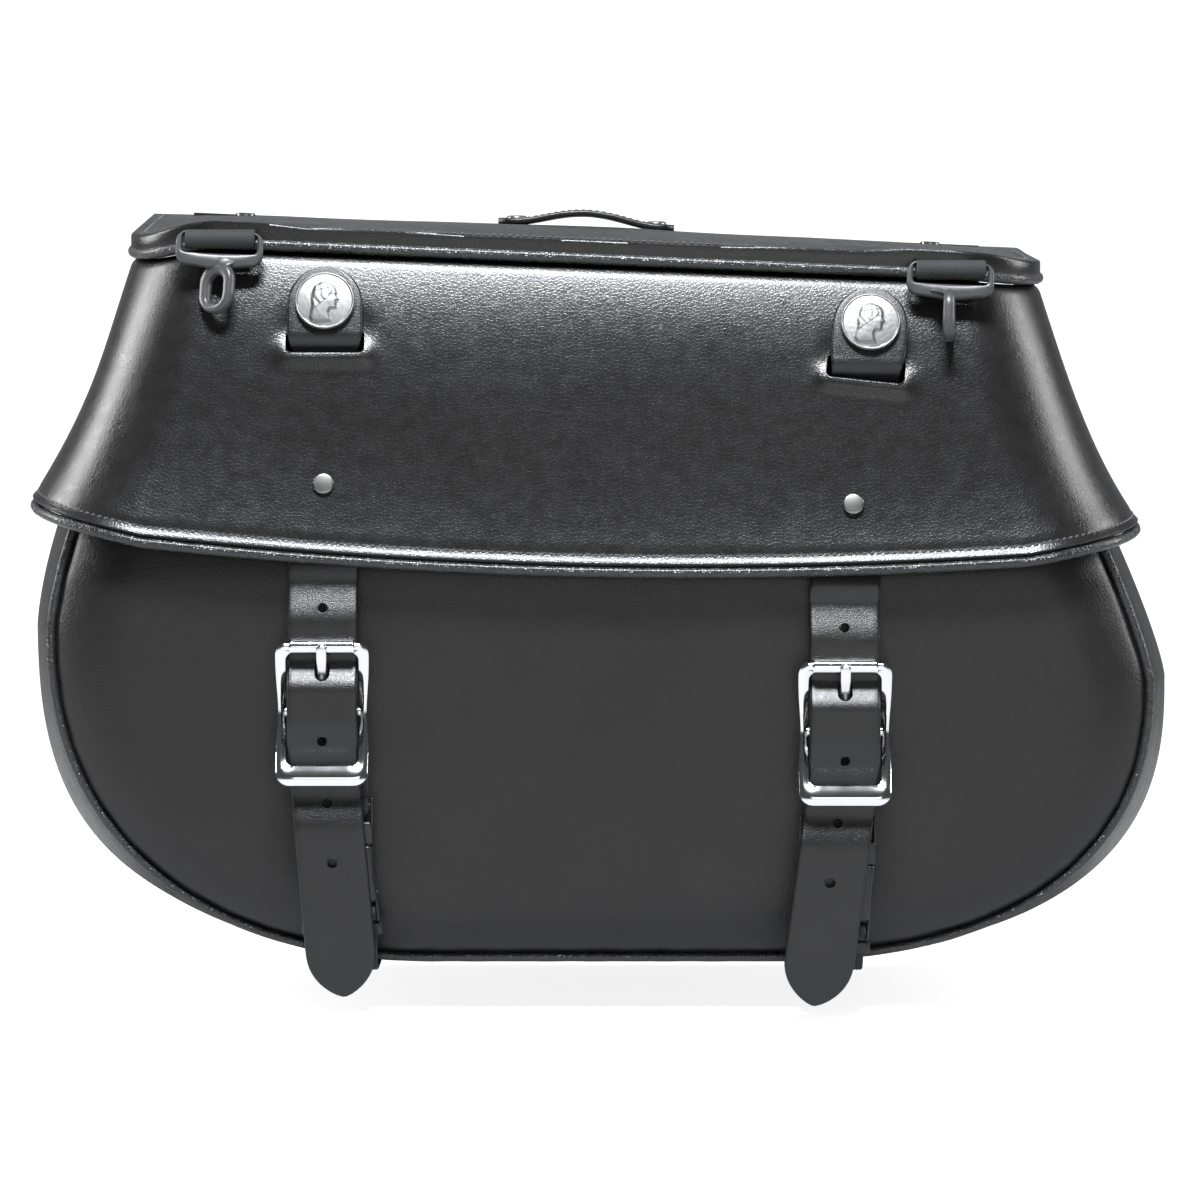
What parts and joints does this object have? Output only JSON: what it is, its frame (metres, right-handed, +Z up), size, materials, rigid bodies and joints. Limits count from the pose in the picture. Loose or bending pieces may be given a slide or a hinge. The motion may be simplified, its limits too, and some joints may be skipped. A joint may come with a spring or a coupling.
{
  "type": "motorcycle saddlebag",
  "caption": "Black leather motorcycle saddlebag with a hinged flared lid, piped seams, buckled straps with hidden quick-release clips, and webbing hooks.",
  "frame": {"origin": "centre of the four mounting holes, on the flat back face", "axes": "+X to the right seen from the front, +Y from the bag towards the motorcycle, +Z up; the buckles face -Y"},
  "size_m": [0.426, 0.1701, 0.2948],
  "materials": {
    "leather": "smooth satin, black",
    "piping": "glossy fine-pebbled, black",
    "webbing": "coarse woven nylon, black",
    "board": "matte",
    "black_plastic": "moulded, slightly glossy",
    "hook_plastic": "satin dark grey",
    "nickel": "satin nickel plate",
    "concho_metal": "satin nickel plate, struck relief",
    "chrome": "polished chrome plate"
  },
  "bodies": {
    "body": {"back_panel": "leather", "back_stiffener": "board", "front_panel": "leather", "gusset": "leather", "front_piping": "piping", "back_piping": "piping", "base_board": "board", "mouth_binding": "piping", "mounting_grommets": "nickel", "hinge_strip": "leather", "left_release_socket": "black_plastic", "left_lower_webbing": "webbing", "left_webbing_slider": "black_plastic", "left_base_rivet": "nickel", "right_release_socket": "black_plastic", "right_lower_webbing": "webbing", "right_webbing_slider": "black_plastic", "right_base_rivet": "nickel"},
    "lid": {"lid_top": "leather", "lid_board": "board", "lid_skirt": "leather", "lid_top_piping": "piping", "lid_edge_piping": "piping", "carry_handle": "leather", "handle_rivets": "nickel", "webbing_rivets": "nickel", "left_hook_webbing": "webbing", "left_strap_tab": "leather", "left_concho": "concho_metal", "left_concho_screw": "nickel", "left_strap_rivet": "nickel", "right_hook_webbing": "webbing", "right_strap_tab": "leather", "right_concho": "concho_metal", "right_concho_screw": "nickel", "right_strap_rivet": "nickel"},
    "left_strap_body": {"left_strap": "leather", "left_buckle_frame": "chrome", "left_chape": "webbing", "left_release_plug": "black_plastic"},
    "left_roller_body": {"left_buckle_roller": "chrome"},
    "left_tongue_body": {"left_buckle_tongue": "chrome"},
    "left_hook_body": {"left_hook": "hook_plastic"},
    "right_strap_body": {"right_strap": "leather", "right_buckle_frame": "chrome", "right_chape": "webbing", "right_release_plug": "black_plastic"},
    "right_roller_body": {"right_buckle_roller": "chrome"},
    "right_tongue_body": {"right_buckle_tongue": "chrome"},
    "right_hook_body": {"right_hook": "hook_plastic"}
  },
  "joints": [
    {"name": "lid_hinge", "type": "hinge", "parent": "body", "child": "lid", "pos_m": [0, -0.003, 0.11753], "axis": [-0.9991, 0, 0.0419], "range_deg": [0, 105]},
    {"name": "left_strap_swing", "type": "hinge", "parent": "lid", "child": "left_strap_body", "pos_m": [-0.1006, -0.1518, -0.0065], "axis": [-1, 0, 0], "range_deg": [0, 80]},
    {"name": "left_roller_spin", "type": "hinge", "parent": "left_strap_body", "child": "left_roller_body", "pos_m": [-0.1006, -0.1628, -0.0328], "axis": [1, 0, 0], "continuous": true},
    {"name": "left_tongue_lift", "type": "hinge", "parent": "left_strap_body", "child": "left_tongue_body", "pos_m": [-0.1006, -0.1574, -0.0567], "axis": [1, 0, 0], "range_deg": [0, 8]},
    {"name": "left_hook_swing", "type": "hinge", "parent": "lid", "child": "left_hook_body", "pos_m": [-0.139, -0.134, 0.11473], "axis": [-0.9991, 0, 0.0419], "range_deg": [0, 80]},
    {"name": "right_strap_swing", "type": "hinge", "parent": "lid", "child": "right_strap_body", "pos_m": [0.0884, -0.1518, -0.0137], "axis": [-1, 0, 0], "range_deg": [0, 80]},
    {"name": "right_roller_spin", "type": "hinge", "parent": "right_strap_body", "child": "right_roller_body", "pos_m": [0.0884, -0.1628, -0.04], "axis": [1, 0, 0], "continuous": true},
    {"name": "right_tongue_lift", "type": "hinge", "parent": "right_strap_body", "child": "right_tongue_body", "pos_m": [0.0884, -0.1574, -0.0639], "axis": [1, 0, 0], "range_deg": [0, 8]},
    {"name": "right_hook_swing", "type": "hinge", "parent": "lid", "child": "right_hook_body", "pos_m": [0.128, -0.134, 0.10354], "axis": [-0.9991, 0, 0.0419], "range_deg": [0, 80]}
  ]
}
